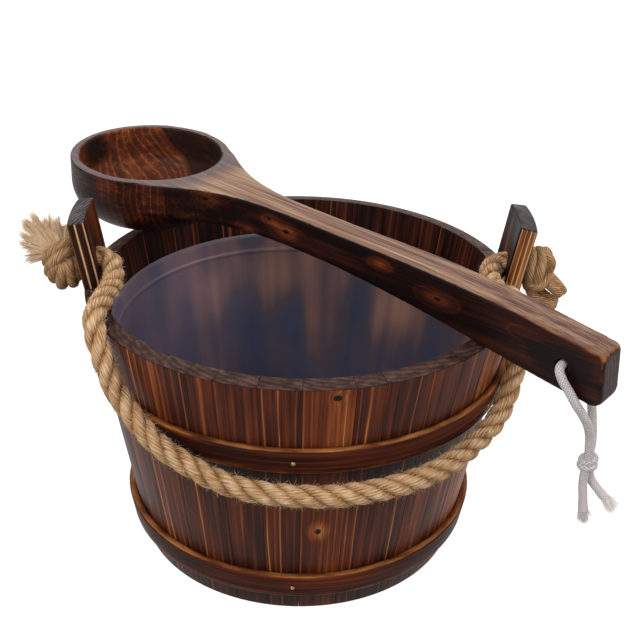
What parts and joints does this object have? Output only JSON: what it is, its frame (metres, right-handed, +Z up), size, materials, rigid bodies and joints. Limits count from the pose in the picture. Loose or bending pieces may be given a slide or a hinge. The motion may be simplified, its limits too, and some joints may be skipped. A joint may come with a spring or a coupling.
{
  "type": "sauna bucket",
  "caption": "Coopered wooden sauna bucket with two wooden hoops, a rope bail through tall ears, a loose translucent liner and a one-piece wooden ladle laid across the rim.",
  "frame": {"origin": "on the floor, in the middle of the footprint of the bucket and its ladle; the bucket's own axis stands 6.3 mm to -X and 6.5 mm to -Y of it", "axes": "+Z up, the bail's hinge line runs along X through the two ears, and -Y is the front, over which the rope hangs"},
  "size_m": [0.3453, 0.2811, 0.216],
  "materials": {
    "charred_wood": "charred, brushed and oiled, satin",
    "ladle_wood": "charred and oiled, satin",
    "brad_brass": "dull",
    "clear_plastic": "translucent, smooth",
    "hemp_rope": "three-strand laid, hairy",
    "cotton_cord": "braided"
  },
  "bodies": {
    "bucket": {"front_stave_01": "charred_wood", "front_stave_02": "charred_wood", "front_stave_03": "charred_wood", "front_stave_04": "charred_wood", "front_stave_05": "charred_wood", "front_stave_06": "charred_wood", "front_stave_07": "charred_wood", "front_stave_08": "charred_wood", "front_stave_09": "charred_wood", "front_stave_10": "charred_wood", "front_stave_11": "charred_wood", "front_stave_12": "charred_wood", "front_stave_13": "charred_wood", "front_stave_14": "charred_wood", "front_stave_15": "charred_wood", "front_stave_16": "charred_wood", "back_stave_01": "charred_wood", "back_stave_02": "charred_wood", "back_stave_03": "charred_wood", "back_stave_04": "charred_wood", "back_stave_05": "charred_wood", "back_stave_06": "charred_wood", "back_stave_07": "charred_wood", "back_stave_08": "charred_wood", "back_stave_09": "charred_wood", "back_stave_10": "charred_wood", "back_stave_11": "charred_wood", "back_stave_12": "charred_wood", "back_stave_13": "charred_wood", "back_stave_14": "charred_wood", "back_stave_15": "charred_wood", "ear_stave_left": "charred_wood", "ear_stave_right": "charred_wood", "bottom_board_1": "charred_wood", "bottom_board_2": "charred_wood", "bottom_board_3": "charred_wood", "bottom_board_4": "charred_wood", "lower_hoop": "charred_wood", "upper_hoop": "charred_wood", "lower_hoop_brad_1": "brad_brass", "lower_hoop_brad_2": "brad_brass", "lower_hoop_brad_3": "brad_brass", "upper_hoop_brad_1": "brad_brass", "upper_hoop_brad_2": "brad_brass", "upper_hoop_brad_3": "brad_brass", "upper_hoop_brad_4": "brad_brass", "upper_hoop_brad_5": "brad_brass", "upper_hoop_brad_6": "brad_brass", "rope_knot_left": "hemp_rope", "rope_knot_right": "hemp_rope", "rope_tail_left": "hemp_rope", "rope_tail_right": "hemp_rope"},
    "liner": {"liner": "clear_plastic"},
    "bail": {"rope_handle": "hemp_rope"},
    "ladle": {"ladle": "ladle_wood", "ladle_cord": "cotton_cord", "ladle_cord_knot": "cotton_cord", "ladle_cord_tail_long": "cotton_cord", "ladle_cord_tail_short": "cotton_cord"}
  },
  "joints": [
    {"name": "ladle_lift", "type": "slide", "parent": "bucket", "child": "ladle", "axis": [0, 0, 1], "range_m": [0, 0.3]},
    {"name": "bail_swing", "type": "hinge", "parent": "bucket", "child": "bail", "pos_m": [-0.0063, -0.0065, 0.182], "axis": [-1, 0, 0], "range_deg": [0, 180]},
    {"name": "liner_lift", "type": "slide", "parent": "bucket", "child": "liner", "axis": [0, 0, 1], "range_m": [0, 0.018]}
  ],
  "couplings": [
    {"joint": "bail_swing", "follows": "ladle_lift", "rad_per_m": 10.472}
  ]
}
